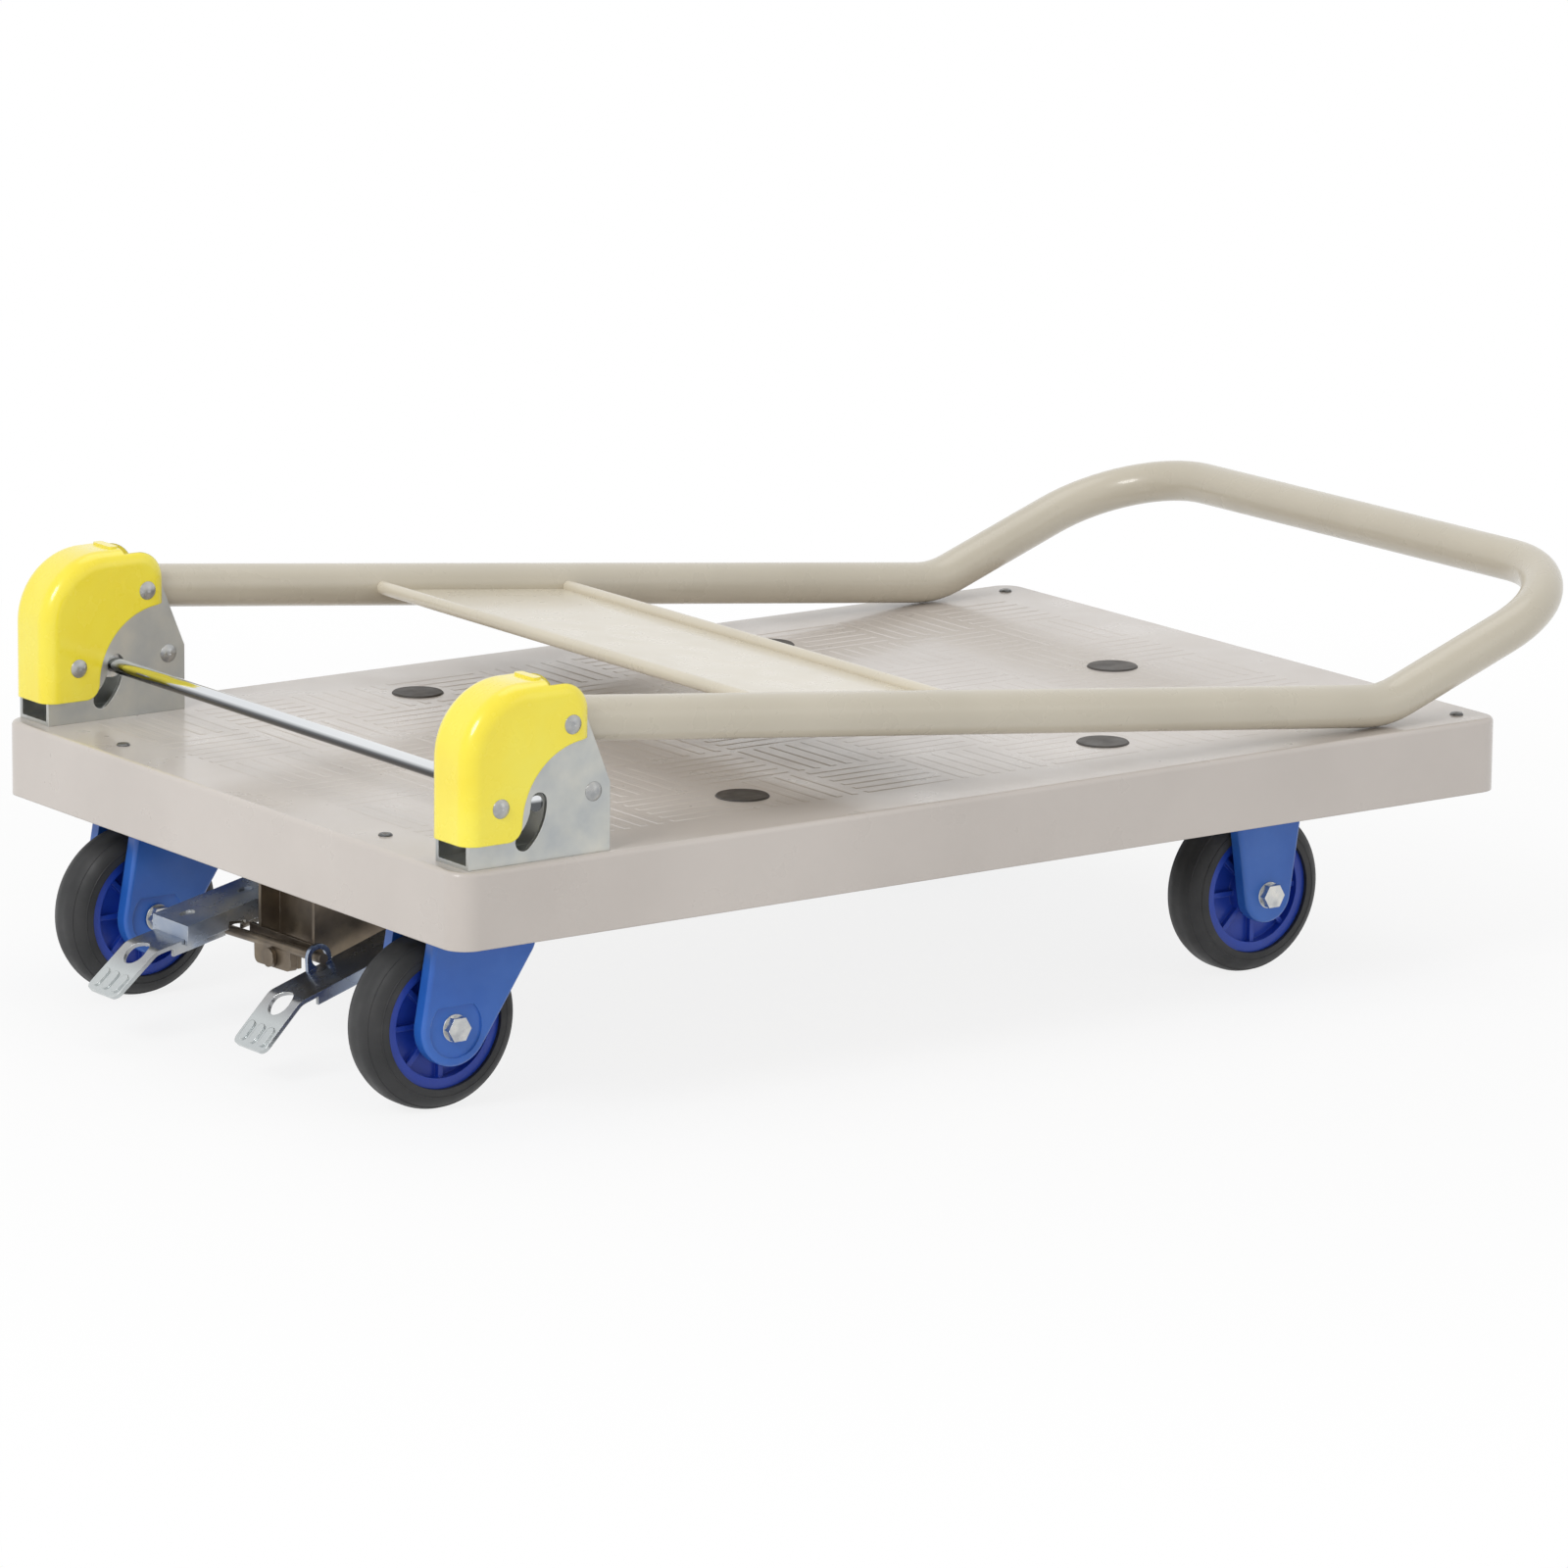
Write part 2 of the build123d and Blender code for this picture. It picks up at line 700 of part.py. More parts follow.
# Swivel caster top plates
for name, side in sides.items():
    with BuildPart() as top_plate:
        with BuildSketch(Plane.XY.offset(member_bottom)):
            with Locations((swivel_x, side * caster_y)):
                RectangleRounded(top_plate_length, top_plate_width, top_plate_corner)
                Circle(kingpin_diameter / 2 + press_gap, mode=Mode.SUBTRACT)
            with Locations(*corners(swivel_x, side * caster_y, top_bolt_length, top_bolt_width)):
                Circle(bolt_diameter / 2 + bolt_gap, mode=Mode.SUBTRACT)
        extrude(amount=-top_plate_thickness)
    save(top_plate, f"swivel_plate_{name}")

# Swivel heads: crown, lower race, upper race and kingpin, from the wheel up
with BuildPart() as upper_races:
    with BuildSketch(Plane.XY.offset(upper_race_bottom)):
        with Locations(*[(swivel_x, side * caster_y) for side in sides.values()]):
            Circle(race_radius)
            Circle(race_radius - race_width, mode=Mode.SUBTRACT)
    extrude(amount=race_height)
save(upper_races, "swivel_upper_races")

with BuildPart() as kingpins:
    with BuildSketch(Plane.XY.offset(crown_bottom - side_gap)):
        with Locations(*[(swivel_x, side * caster_y) for side in sides.values()]):
            Circle(kingpin_head / 2)
    extrude(amount=-kingpin_head_height)
    with BuildSketch(Plane.XY.offset(crown_bottom - side_gap)):
        with Locations(*[(swivel_x, side * caster_y) for side in sides.values()]):
            Circle(kingpin_diameter / 2)
    extrude(amount=member_bottom - crown_bottom + side_gap)
save(kingpins, "kingpins")

for name, side in sides.items():
    with BuildPart() as lower_race:
        with BuildSketch(Plane.XY.offset(crown_top)):
            with Locations((swivel_x, side * caster_y)):
                Circle(race_radius)
                Circle(race_radius - race_width, mode=Mode.SUBTRACT)
        extrude(amount=race_height)
    save(lower_race, f"swivel_lower_race_{name}")

# Rear forks: two raked legs, rounded in front, under a round crown
shoulder_x = swivel_x + crown_front - rear_shoulder_radius
shoulder_z = crown_bottom + crown_thickness - rear_shoulder_radius
for name, side in sides.items():
    with BuildPart() as fork:
        for edge in (-1, 1):
            with BuildSketch(upright(side * caster_y + edge * (leg_inner + leg_outer) / 2)):
                with Locations((rear_axle_x, axle_height)):
                    Circle(rear_foot_radius)
                with Locations(
                    (swivel_x + (crown_front - crown_rear) / 2, crown_bottom + crown_thickness / 2)
                ):
                    Rectangle(crown_front + crown_rear, crown_thickness)
                with Locations((shoulder_x, shoulder_z)):
                    Circle(rear_shoulder_radius)
                make_hull()
            extrude(amount=leg_thickness / 2, both=True)
        for outward in (0, -1):
            fillet(fork.faces().filter_by(Axis.Y).sort_by(Axis.Y)[outward].edges(), leg_edge_radius)
        for edge in (-1, 1):
            with BuildSketch(upright(side * caster_y + edge * leg_outer)) as seat:
                with Locations((rear_axle_x, axle_height)):
                    Circle(seat_radius)
                with Locations((rear_axle_x, axle_height + seat_height + seat_radius)):
                    Rectangle(4 * seat_radius, 2 * seat_radius, mode=Mode.SUBTRACT)
            extrude(amount=seat_depth, both=True, mode=Mode.SUBTRACT)
        with BuildSketch(Plane.XY.offset(crown_bottom)):
            with Locations((swivel_x, side * caster_y)):
                Circle(crown_radius)
        extrude(amount=crown_thickness)
        with BuildSketch(Plane.XY.offset(crown_bottom)):
            with Locations((swivel_x, side * caster_y)):
                Circle(kingpin_diameter / 2 + running_gap)
        extrude(amount=crown_thickness, mode=Mode.SUBTRACT)
        hinge_holes([(rear_axle_x, axle_height)], axle_diameter / 2 + press_gap)
    save(fork, f"rear_fork_{name}")

# Axle bolts with their nuts, heads outwards
for end, x, seat in (("rear", rear_axle_x, seat_depth), ("front", front_axle_x, 0)):
    for name, side in sides.items():
        face = leg_outer - seat
        with BuildPart() as axle:
            cross_shaft(x, axle_height, axle_diameter / 2, side * caster_y - face, side * caster_y + face)
            outer = sorted((side * (caster_y + face), side * (caster_y + face + hex_head)))
            inner = sorted((side * (caster_y - face), side * (caster_y - face - hex_nut)))
            cross_hex(x, axle_height, hex_across, *outer)
            cross_hex(x, axle_height, hex_across, *inner)
        save(axle, f"{end}_axle_{name}")

# Wheels: a tyre on a ribbed centre with a bush
for end, x in (("rear", rear_axle_x), ("front", front_axle_x)):
    for name, side in sides.items():
        y = side * caster_y
        spin = Axis((x, y, axle_height), (0, 1, 0))
        tyre_depth = (wheel_diameter - rim_diameter) / 2 - press_gap
        with BuildPart() as tyre:
            with BuildSketch(Plane.XY.offset(axle_height)) as section:
                with Locations((x + (wheel_diameter - tyre_depth) / 2, y)):
                    Rectangle(tyre_depth, tyre_width)
                fillet(section.vertices().group_by(Axis.X)[-1], tyre_shoulder)
            revolve(axis=spin)
        save(tyre, f"tyre_{end}_{name}")

        rim = rim_diameter / 2
        with BuildPart() as centre:
            with BuildSketch(Plane.XY.offset(axle_height)):
                with Locations((x + (hub_diameter + bush_diameter) / 4, y)):
                    Rectangle((hub_diameter - bush_diameter) / 2, hub_length)
                with Locations((x + (rim + hub_diameter / 2) / 2, y)):
                    Rectangle(rim - hub_diameter / 2, web_thickness)
                with Locations((x + rim - rim_wall / 2, y)):
                    Rectangle(rim_wall, rim_width)
            revolve(axis=spin)
            rib_run = rim - rim_wall / 2 - hub_diameter / 4
            with BuildSketch(upright(y)):
                with Locations((x, axle_height)):
                    with PolarLocations(rib_run / 2 + hub_diameter / 4, rib_count):
                        Rectangle(rib_run, rib_thickness)
            extrude(amount=rim_width / 2 - rib_step, both=True)
        save(centre, f"wheel_centre_{end}_{name}")

        with BuildPart() as bush:
            cross_shaft(
                x, axle_height, bush_diameter / 2 - press_gap, y - hub_length / 2, y + hub_length / 2
            )
            hinge_holes([(x, axle_height)], axle_diameter / 2 + running_gap)
        save(bush, f"wheel_bush_{end}_{name}")

# Brake bracket: side walls and a recessed back plate under the rear member, with a wide lower lip
hanger_half = hanger_gap / 2 + hanger_sheet
rocker_run = shaft_setback - rocker_setback
raised = slope - half_swing
lowered = slope + half_swing
left_face = shaft_height + (arm_rise * cos(slope) - rocker_run * sin(raised)) / cos(raised)
right_face = shaft_height + (arm_rise * cos(slope) - rocker_run * sin(lowered)) / cos(lowered)
rod_left = left_face - (arm_sheet + rocker_rod / 2 + rocker_gap) / cos(raised)
rod_right = right_face + (rocker_rod / 2 + rocker_gap) / cos(lowered)
rod_level = (rod_left + rod_right) / 2
rocker_z = rod_level - rocker_lift
lip_low = rod_level - lip_height / 2
pin_tongue_low = rocker_z - pin_tongue_drop
pin_tongue_high = rod_level
with BuildPart() as hanger:
    with BuildSketch(Plane.XY.offset(member_bottom)):
        with Locations(((hanger_x + hanger_front) / 2, 0)):
            Rectangle(hanger_front - hanger_x, 2 * (hanger_half + hanger_flange))
        with Locations(*hanger_bolt_points):
            Circle(bolt_diameter / 2 + bolt_gap, mode=Mode.SUBTRACT)
    extrude(amount=-hanger_sheet)
    for edge in (-1, 1):
        with BuildSketch(upright(edge * (hanger_gap + hanger_sheet) / 2)):
            Polygon(
                (hanger_x, member_bottom),
                (hanger_front, member_bottom),
                (shaft_x + hanger_margin, shaft_height + hanger_margin),
                (shaft_x + hanger_margin, shaft_height - hanger_margin),
                (hanger_x + hanger_margin, lip_low),
                (hanger_x, lip_low),
                align=None,
            )
            with Locations((shaft_x, shaft_height)):
                Circle(shaft_diameter / 2 + press_gap, mode=Mode.SUBTRACT)
        extrude(amount=hanger_sheet / 2, both=True)
    with BuildSketch(Plane.YZ.offset(hanger_x + hanger_recess)):
        with Locations((0, (lip_low + member_bottom) / 2)):
            Rectangle(2 * hanger_half, member_bottom - lip_low)
    extrude(amount=hanger_sheet)
    with BuildSketch(Plane.YZ.offset(hanger_x)):
        with Locations((0, rod_level)):
            Rectangle(lip_width, lip_height)
        with Locations((0, (pin_tongue_low + pin_tongue_high) / 2)):
            Rectangle(pin_tongue_width, pin_tongue_high - pin_tongue_low)
        with Locations((0, rocker_z)):
            Circle(rocker_pin / 2 + press_gap, mode=Mode.SUBTRACT)
    extrude(amount=hanger_sheet)
save(hanger, "brake_bracket")

hanger_bolts = vertical_bolts(
    hanger_bolt_points, member_bottom - hanger_sheet, member_bottom + member_wall, member_bottom + member_wall
)
save(hanger_bolts, "brake_bracket_bolts")

# Pedal shaft with headed ends, and the spacers beside the bracket
arm_outer = pedal_y + arm_width / 2
arm_inner = pedal_y - arm_width / 2
with BuildPart() as shaft:
    end_y = arm_outer + side_gap
    cross_shaft(shaft_x, shaft_height, shaft_diameter / 2, -end_y, end_y)
    cross_shaft(shaft_x, shaft_height, shaft_head / 2, end_y, end_y + shaft_head_height)
    cross_shaft(shaft_x, shaft_height, shaft_head / 2, -end_y - shaft_head_height, -end_y)
save(shaft, "pedal_shaft")

with BuildPart() as spacers:
    cross_shaft(shaft_x, shaft_height, spacer_diameter / 2, hanger_half, arm_inner - side_gap)
    cross_shaft(shaft_x, shaft_height, spacer_diameter / 2, side_gap - arm_inner, -hanger_half)
    hinge_holes([(shaft_x, shaft_height)], shaft_diameter / 2 + press_gap)
save(spacers, "pedal_spacers")


def arm_top(x):
    """Height of the arm's upper face over its shaft, in the pedal's own frame."""
    return arm_rise + x * tan(slope)


def pedal_frame(side, y):
    """The pedal's lengthwise plane at y, turned about the shaft: left raised and right lowered."""
    turn = -side * half_swing
    return Plane(origin=(shaft_x, y, shaft_height), x_dir=(cos(turn), 0, sin(turn)), z_dir=(0, -1, 0))


def band(start, end, over, under):
    """A strip along the arm from start to end, between over above its upper face and under below it."""
    lift = over / cos(slope)
    sink = under / cos(slope)
    Polygon(
        (start, arm_top(start) + lift),
        (end, arm_top(end) + lift),
        (end, arm_top(end) - sink),
        (start, arm_top(start) - sink),
        align=None,
    )


# Pedals: inverted channels with a bent, ridged tongue
arm_below = Vector(sin(slope), -cos(slope)) * arm_sheet
tongue_below = Vector(sin(drop), -cos(drop)) * arm_sheet
mitre = 1 / (1 + cos(drop - slope))
front_point = Vector(arm_front, arm_top(arm_front))
notch_x = rocker_setback - shaft_setback
for node, side, reach in (("brake_pedal", 1, brake_reach), ("release_pedal", -1, release_reach)):
    frame = pedal_frame(side, side * pedal_y)
    bend_point = Vector(-reach, arm_top(-reach))
    bend_under = bend_point + (arm_below + tongue_below) * mitre
    tip_point = bend_point - Vector(cos(drop), sin(drop)) * tongue_length
    with BuildPart() as pedal:
        with BuildSketch(frame) as strip:
            Polygon(
                front_point,
                bend_point,
                tip_point,
                tip_point + tongue_below,
                bend_under,
                front_point + arm_below,
                align=None,
            )
            fillet(strip.vertices().sort_by_distance(bend_point)[0], pedal_bend_radius + arm_sheet)
            fillet(strip.vertices().sort_by_distance(bend_under)[0], pedal_bend_radius)
        extrude(amount=arm_width / 2, both=True)
        for edge in (-1, 1):
            with BuildSketch(pedal_frame(side, side * pedal_y + edge * (arm_width - arm_sheet) / 2)):
                band(flange_start - reach, arm_front, 0, arm_depth)
                Circle(arm_ear)
                Circle(shaft_diameter / 2 + running_gap, mode=Mode.SUBTRACT)
                if edge == -side and side > 0:
                    with Locations((notch_x, arm_top(notch_x) - arm_depth)):
                        Rectangle(rocker_notch, 2 * (arm_depth - arm_sheet), mode=Mode.SUBTRACT)
                if edge == -side and side < 0:
                    ear = frame.to_local_coords(Vector(rocker_x, -pedal_y, rod_right))
                    with Locations((ear.X, ear.Y - ear_hole / 2)):
                        Rectangle(ear_hole + 2 * ear_rim, ear_hole)
                    with Locations((ear.X, ear.Y)):
                        Circle(ear_hole / 2 + ear_rim)
                        Circle(ear_hole / 2, mode=Mode.SUBTRACT)
            extrude(amount=arm_sheet / 2, both=True)
        along = frame.x_dir * -cos(drop) + frame.y_dir * -sin(drop)
        normal = frame.x_dir * -sin(drop) + frame.y_dir * cos(drop)
        tongue = Plane(origin=frame.from_local_coords(bend_point), x_dir=along, z_dir=normal)
        tip = frame.from_local_coords(tip_point)
        tip_edges = pedal.edges().filter_by(Axis(tip, normal)).sort_by_distance(tip)[:2]
        fillet(tip_edges, tongue_corner)
        with BuildSketch(tongue):
            with Locations((tongue_hole_run, 0)):
                Circle(tongue_hole / 2)
        extrude(amount=4 * arm_sheet, both=True, mode=Mode.SUBTRACT)
        with BuildSketch(tongue):
            with Locations((tongue_length - ridge_inset - ridge_length / 2, 0)):
                with GridLocations(0, ridge_pitch, 1, ridge_count):
                    SlotOverall(ridge_length, ridge_width)
        extrude(amount=ridge_height)
    save(pedal, node)

# Wider channel over the left pedal's arm, standing on it by its rear edge and two dimples
with BuildPart() as sleeve:
    sleeve_start = sleeve_rear - brake_reach
    sleeve_end = sleeve_start + sleeve_length
    sleeve_over = sleeve_rise + sleeve_sheet
    with BuildSketch(pedal_frame(1, pedal_y)):
        band(sleeve_start, sleeve_end, sleeve_over, -sleeve_rise)
        band(sleeve_start, sleeve_start + sleeve_sheet, sleeve_over, 0)
    extrude(amount=sleeve_width / 2, both=True)
    for edge in (-1, 1):
        with BuildSketch(pedal_frame(1, pedal_y + edge * (sleeve_width - sleeve_sheet) / 2)):
            band(sleeve_start, sleeve_end, sleeve_over, sleeve_depth - sleeve_over)
            if edge == -1:
                with Locations((notch_x, arm_top(notch_x) - arm_depth)):
                    Rectangle(rocker_notch, 2 * arm_depth, mode=Mode.SUBTRACT)
        extrude(amount=sleeve_sheet / 2, both=True)
    frame = pedal_frame(1, pedal_y)
    rest = Plane(
        origin=frame.from_local_coords(Vector(sleeve_start, arm_top(sleeve_start))),
        x_dir=frame.x_dir * cos(slope) + frame.y_dir * sin(slope),
        z_dir=frame.y_dir * cos(slope) - frame.x_dir * sin(slope),
    )
    dimple_points = [(dimple_inset + k * dimple_pitch, 0) for k in range(2)]
    with BuildSketch(rest):
        with Locations(*dimple_points):
            Circle(dimple_diameter / 2)
    extrude(amount=sleeve_rise)
    with BuildSketch(rest.offset(sleeve_over - dimple_depth)):
        with Locations(*dimple_points):
            Circle(dimple_diameter / 2)
    extrude(amount=dimple_depth, mode=Mode.SUBTRACT)
save(sleeve, "brake_pedal_channel")

# Rocker: a rod under the left arm and through the right arm's ear, on a hanging plate, drawn level and tilted
with BuildPart() as level_rocker:
    with BuildSketch(Plane.YZ.offset(rocker_x)):
        with Locations((0, rocker_z + lobe_height / 2 - lobe_drop)):
            RectangleRounded(lobe_width, lobe_height, lobe_corner)
        with Locations((0, rocker_z)):
            Circle(rocker_pin / 2 + running_gap, mode=Mode.SUBTRACT)
    extrude(amount=rocker_plate / 2, both=True)
    cross_shaft(rocker_x, rod_level, rocker_rod / 2, -rocker_half, rocker_half)
rod_contact = arm_inner + arm_sheet / 2
rocker_tilt = atan((rod_left - rod_right) / (2 * rod_contact))
with BuildPart() as rocker:
    add(level_rocker.part.rotate(Axis((rocker_x, 0, rocker_z), (1, 0, 0)), degrees(rocker_tilt)))
save(rocker, "brake_rocker")

# Rocker pin with a collar in front of the rocker and a head behind it
with BuildPart() as pin:
    rocker_rear = rocker_x - rocker_plate / 2 - side_gap
    rocker_face = rocker_x + rocker_plate / 2 + side_gap
    with BuildSketch(Plane.YZ.offset(rocker_rear)):
        with Locations((0, rocker_z)):
            Circle(rocker_pin / 2)
    extrude(amount=hanger_x + hanger_sheet - rocker_rear)
    with BuildSketch(Plane.YZ.offset(rocker_rear)):
        with Locations((0, rocker_z)):
            Circle(rocker_collar / 2)
    extrude(amount=-shaft_head_height)
    with BuildSketch(Plane.YZ.offset(rocker_face)):
        with Locations((0, rocker_z)):
            Circle(rocker_collar / 2)
    extrude(amount=hanger_x - rocker_face)
save(pin, "rocker_pin")
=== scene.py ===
import json
from math import cos, pi, radians, sin, sqrt

import bmesh
import bpy
from mathutils import Matrix, Vector


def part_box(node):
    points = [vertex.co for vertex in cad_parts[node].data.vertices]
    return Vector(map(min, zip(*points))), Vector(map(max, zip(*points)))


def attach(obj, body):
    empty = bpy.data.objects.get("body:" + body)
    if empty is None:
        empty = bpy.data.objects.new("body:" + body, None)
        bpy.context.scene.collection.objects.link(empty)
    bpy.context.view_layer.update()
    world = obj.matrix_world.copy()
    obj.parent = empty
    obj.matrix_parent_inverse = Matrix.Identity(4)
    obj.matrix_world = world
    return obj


# Folding platform trolley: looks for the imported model, in metres, +X forward and +Z up

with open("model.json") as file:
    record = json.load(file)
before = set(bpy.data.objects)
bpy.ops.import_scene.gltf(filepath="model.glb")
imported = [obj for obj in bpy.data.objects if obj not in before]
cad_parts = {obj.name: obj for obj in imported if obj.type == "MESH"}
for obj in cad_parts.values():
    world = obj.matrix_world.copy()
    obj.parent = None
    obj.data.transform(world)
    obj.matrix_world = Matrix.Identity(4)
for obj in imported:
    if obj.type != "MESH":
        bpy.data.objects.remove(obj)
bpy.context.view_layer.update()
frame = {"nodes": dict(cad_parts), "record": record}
nodes = frame["nodes"]
scene = bpy.context.scene
scene.view_settings.view_transform = "Standard"

deck_low, deck_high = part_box("deck")
rear_x = deck_low.x
deck_top = deck_high.z


# Edges: cosines between the bevelled and the plain normal where wear starts to show and shows fully
bevel_samples = 6
edge_start = 0.995
edge_full = 0.85

# Noise: the part that makes worn patches, and the part that roughness follows
patch_low = 0.42
patch_high = 0.62
patch_detail = 4.0
noise_low = 0.3
noise_high = 0.7

# Painted dark reflection on the lock's rod, darker on its lower side: heights over its middle where it
# starts and is full, as shares of its radius
painted_shade_start = 0.5
painted_shade_full = 0.05

# Towards the pedals' tips: a scuffed tone, then a painted highlight nearer the tip; distances from the
# tip where each tone starts and is full
tread_length = 0.026
scuff_start = 2 * tread_length
scuff_full = tread_length
painted_highlight_start = 0.8 * tread_length
painted_highlight_full = 0.5 * tread_length


# Materials
def srgb(red, green, blue):
    """A colour given in 0-255 sRGB, as the linear value that shaders take."""
    def linear(value):
        value /= 255
        return value / 12.92 if value <= 0.04045 else ((value + 0.055) / 1.055) ** 2.4

    return (linear(red), linear(green), linear(blue), 1.0)


class Shader:
    """A Principled material whose colour, roughness and bump come from noise in object space."""

    def __init__(self, name, metallic=0.0, coat=0.0, coat_roughness=0.1, edge_radius=0.0):
        self.material = bpy.data.materials.new(name)
        self.material.use_nodes = True
        self.tree = self.material.node_tree
        self.bsdf = self.tree.nodes["Principled BSDF"]
        self.bsdf.inputs["Metallic"].default_value = metallic
        self.bsdf.inputs["Coat Weight"].default_value = coat
        self.bsdf.inputs["Coat Roughness"].default_value = coat_roughness
        self.coordinates = self.tree.nodes.new("ShaderNodeTexCoord").outputs["Object"]
        self.base = None
        self.normal = None
        self.edge = None
        if edge_radius:
            self.soften(edge_radius)

    def link(self, source, target):
        self.tree.links.new(source, target)

    def spread(self, value, start, end, low, high):
        """A value mapped from start-end to low-high, held at both ends."""
        node = self.tree.nodes.new("ShaderNodeMapRange")
        for name, number in (("From Min", start), ("From Max", end), ("To Min", low), ("To Max", high)):
            node.inputs[name].default_value = number
        self.link(value, node.inputs["Value"])
        return node.outputs["Result"]

    def soften(self, radius):
        """Rounded edges in the shading, and a mask that is 1 along them."""
        bevel = self.tree.nodes.new("ShaderNodeBevel")
        bevel.samples = bevel_samples
        bevel.inputs["Radius"].default_value = radius
        geometry = self.tree.nodes.new("ShaderNodeNewGeometry")
        dot = self.tree.nodes.new("ShaderNodeVectorMath")
        dot.operation = "DOT_PRODUCT"
        self.link(bevel.outputs["Normal"], dot.inputs[0])
        self.link(geometry.outputs["Normal"], dot.inputs[1])
        self.edge = self.spread(dot.outputs["Value"], edge_start, edge_full, 0.0, 1.0)
        self.normal = bevel.outputs["Normal"]
        self.link(self.normal, self.bsdf.inputs["Normal"])

    def stretched(self, scale):
        """Object coordinates scaled by a vector, for streaks."""
        mapping = self.tree.nodes.new("ShaderNodeMapping")
        mapping.inputs["Scale"].default_value = scale
        self.link(self.coordinates, mapping.inputs["Vector"])
        return mapping.outputs["Vector"]

    def noise(self, scale, detail=3.0, stretch=None):
        """Noise in object space, drawn out along the axes that stretch makes small."""
        texture = self.tree.nodes.new("ShaderNodeTexNoise")
        texture.inputs["Scale"].default_value = scale
        texture.inputs["Detail"].default_value = detail
        self.link(self.stretched(stretch) if stretch else self.coordinates, texture.inputs["Vector"])
        return texture.outputs["Fac"]

    def colour(self, factor, *stops):
        """Base colour from a ramp of (position, colour) stops."""
        ramp = self.tree.nodes.new("ShaderNodeValToRGB")
        while len(ramp.color_ramp.elements) < len(stops):
            ramp.color_ramp.elements.new(0.5)
        for element, (position, value) in zip(ramp.color_ramp.elements, stops):
            element.position = position
            element.color = value
        self.link(factor, ramp.inputs["Fac"])
        self.base = ramp.outputs["Color"]
        self.link(self.base, self.bsdf.inputs["Base Color"])

    def wear(self, scale, amount, tint):
        """Patches of another colour along the edges."""
        patches = self.spread(self.noise(scale, patch_detail), patch_low, patch_high, 0.0, amount)
        both = self.tree.nodes.new("ShaderNodeMath")
        both.operation = "MULTIPLY"
        self.link(self.edge, both.inputs[0])
        self.link(patches, both.inputs[1])
        mix = self.tree.nodes.new("ShaderNodeMixRGB")
        mix.inputs["Color2"].default_value = tint
        self.link(both.outputs["Value"], mix.inputs["Fac"])
        self.link(self.base, mix.inputs["Color1"])
        self.link(mix.outputs["Color"], self.bsdf.inputs["Base Color"])

    def graded_tint(self, axis, start, end, amount, tint):
        """Another colour over the base, from nothing at start to the full amount at end along an axis."""
        split = self.tree.nodes.new("ShaderNodeSeparateXYZ")
        self.link(self.coordinates, split.inputs["Vector"])
        mix = self.tree.nodes.new("ShaderNodeMixRGB")
        mix.inputs["Color2"].default_value = tint
        self.link(self.spread(split.outputs[axis], start, end, 0.0, amount), mix.inputs["Fac"])
        self.link(self.base, mix.inputs["Color1"])
        self.base = mix.outputs["Color"]
        self.link(self.base, self.bsdf.inputs["Base Color"])

    def roughness(self, factor, low, high):
        """Roughness that a noise varies from low to high."""
        self.link(self.spread(factor, noise_low, noise_high, low, high), self.bsdf.inputs["Roughness"])

    def bump(self, factor, strength, depth):
        """A bump on top of the bumps before it."""
        node = self.tree.nodes.new("ShaderNodeBump")
        node.inputs["Strength"].default_value = strength
        node.inputs["Distance"].default_value = depth
        self.link(factor, node.inputs["Height"])
        if self.normal:
            self.link(self.normal, node.inputs["Normal"])
        self.normal = node.outputs["Normal"]
        self.link(self.normal, self.bsdf.inputs["Normal"])


def deck_material():
    shader = Shader("deck_resin", coat=0.45, coat_roughness=0.1, edge_radius=0.0012)
    shader.colour(
        shader.noise(7.0, 4.0),
        (0.3, srgb(198, 190, 183)),
        (0.5, srgb(204, 196, 189)),
        (0.7, srgb(210, 202, 195)),
    )
    shader.wear(60.0, 0.35, srgb(226, 220, 213))
    shader.roughness(shader.noise(30.0, 5.0), 0.25, 0.4)
    shader.bump(shader.noise(1400.0, 2.0), 0.12, 0.00008)
    shader.bump(shader.noise(18.0, 2.0), 0.05, 0.0006)
    return shader.material


def handle_material(name, shade=1.0):
    """Cream enamel, paler with a higher shade."""
    shader = Shader(name, coat=0.4, coat_roughness=0.1, edge_radius=0.0006)
    shader.colour(
        shader.noise(9.0, 3.0),
        (0.3, srgb(198 * shade, 190 * shade, 172 * shade)),
        (0.7, srgb(207 * shade, 199 * shade, 181 * shade)),
    )
    shader.wear(120.0, 0.4, srgb(226, 220, 206))
    shader.roughness(shader.noise(45.0, 4.0), 0.24, 0.36)
    shader.bump(shader.noise(420.0, 2.0), 0.08, 0.0002)
    return shader.material


def cover_material():
    shader = Shader("cover_yellow", coat=0.7, coat_roughness=0.06, edge_radius=0.001)
    shader.colour(
        shader.noise(24.0, 4.0),
        (0.3, srgb(253, 232, 44)),
        (0.5, srgb(255, 237, 56)),
        (0.7, srgb(255, 241, 74)),
    )
    shader.wear(90.0, 0.3, srgb(252, 246, 150))
    shader.roughness(shader.noise(70.0, 3.0), 0.2, 0.32)
    shader.bump(shader.noise(900.0, 2.0), 0.06, 0.0001)
    return shader.material


def zinc_material():
    shader = Shader("zinc_plate", metallic=1.0, edge_radius=0.0006)
    shader.colour(
        shader.noise(38.0, 6.0),
        (0.3, srgb(174, 178, 180)),
        (0.5, srgb(189, 191, 188)),
        (0.7, srgb(203, 202, 194)),
    )
    shader.wear(150.0, 0.6, srgb(232, 232, 230))
    shader.roughness(shader.noise(80.0, 5.0), 0.32, 0.5)
    shader.bump(shader.noise(300.0, 3.0, stretch=(1.0, 1.0, 0.2)), 0.08, 0.0001)
    return shader.material


